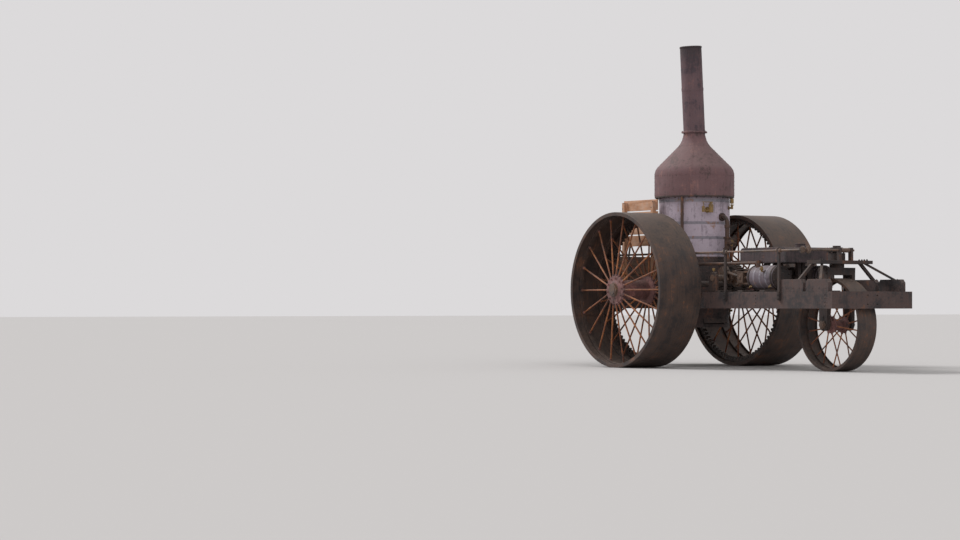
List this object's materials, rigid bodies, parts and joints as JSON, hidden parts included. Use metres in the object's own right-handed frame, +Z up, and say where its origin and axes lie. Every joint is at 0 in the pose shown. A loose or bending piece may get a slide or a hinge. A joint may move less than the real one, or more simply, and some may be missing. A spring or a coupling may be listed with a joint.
{
  "type": "steam traction engine",
  "caption": "Steam traction engine with an upright boiler and tall stack between broad spoked driving wheels, flat cylinders ahead and a steered wheel at the front.",
  "frame": {"origin": "on the ground, below the middle of the machine's length and width", "axes": "+X forward, +Y to the machine's left, +Z up"},
  "size_m": [6.8208, 3.25, 5.1392],
  "materials": {
    "frame_steel": "old black paint, dusty and rusting",
    "dark_iron": "dark oily iron with brown rust",
    "wheel_plate": "rolled plate, brown rust",
    "spoke_rod": "bare rod with orange rust",
    "hub_iron": "cast iron with pinkish rust",
    "gear_iron": "cast iron, old grease",
    "worked_steel": "turned steel, dull with rust",
    "boiler_plate": "riveted plate, heat-browned paint",
    "boiler_lagging": "pale weathered jacket sheet",
    "hood_sheet": "rusted sheet",
    "stack_sheet": "rusted sheet with soot",
    "cylinder_lagging": "grey-brown lagging sheet",
    "tank_plate": "riveted tank plate, dark",
    "pipe_iron": "iron pipe, dark brown",
    "brass_fittings": "brass gone brown",
    "deck_wood": "weathered planks",
    "rack_wood": "pale sawn boards"
  },
  "bodies": {
    "chassis": {"rail_right": "frame_steel", "rail_left": "frame_steel", "cross_members": "frame_steel", "front_beam": "frame_steel", "drawbar": "dark_iron", "axle_brackets": "dark_iron", "stub_axles": "worked_steel", "rail_shoes": "frame_steel", "pedestal_legs": "dark_iron", "pedestal_head": "dark_iron", "worm_shaft": "worked_steel", "shaft_posts": "dark_iron", "steering_shaft": "worked_steel", "hand_wheel": "dark_iron", "firebox": "boiler_plate", "ash_pan": "boiler_plate", "boiler_barrel": "boiler_lagging", "boiler_brackets": "dark_iron", "smoke_hood": "hood_sheet", "stack": "stack_sheet", "fire_door_frame": "dark_iron", "exhaust_pipe": "pipe_iron", "steam_pipe": "pipe_iron", "boiler_fittings": "brass_fittings", "engine_bed": "dark_iron", "cylinders": "cylinder_lagging", "running_gear": "worked_steel", "valve_gear": "worked_steel", "crankshaft": "worked_steel", "flywheel": "gear_iron", "countershaft": "gear_iron", "counter_bearings": "dark_iron", "water_tank": "tank_plate", "tank_posts": "dark_iron", "deck_planks": "deck_wood", "fuel_bunker": "deck_wood", "side_racks": "rack_wood", "control_levers": "dark_iron", "drawbar_braces": "dark_iron"},
    "drive_wheel_right": {"drive_rim_right": "wheel_plate", "drive_spokes_right": "spoke_rod", "drive_hub_right": "hub_iron", "bull_gear_right": "gear_iron"},
    "drive_wheel_left": {"drive_rim_left": "wheel_plate", "drive_spokes_left": "spoke_rod", "drive_hub_left": "hub_iron", "bull_gear_left": "gear_iron"},
    "steering_fork": {"steering_yoke": "dark_iron", "worm_wheel": "gear_iron", "front_axle": "worked_steel"},
    "front_wheel": {"front_rim": "wheel_plate", "front_spokes": "spoke_rod", "front_hub": "hub_iron"},
    "fire_door": {"fire_door": "dark_iron"}
  },
  "joints": [
    {"name": "right_wheel_spin", "type": "hinge", "parent": "chassis", "child": "drive_wheel_right", "pos_m": [-0.86044, -1.185, 1.22], "axis": [0, 1, 0], "continuous": true},
    {"name": "left_wheel_spin", "type": "hinge", "parent": "chassis", "child": "drive_wheel_left", "pos_m": [-0.86044, 1.185, 1.22], "axis": [0, 1, 0], "continuous": true},
    {"name": "steering", "type": "hinge", "parent": "chassis", "child": "steering_fork", "pos_m": [2.61956, 0, 1.5], "axis": [0, 0, 1], "range_deg": [-40, 40]},
    {"name": "front_wheel_spin", "type": "hinge", "parent": "steering_fork", "child": "front_wheel", "pos_m": [2.61956, 0, 0.69], "axis": [0, 1, 0], "continuous": true},
    {"name": "fire_door_swing", "type": "hinge", "parent": "chassis", "child": "fire_door", "pos_m": [-1.49144, 0.238, 1.45], "axis": [0, 0, -1], "range_deg": [0, 110]}
  ]
}
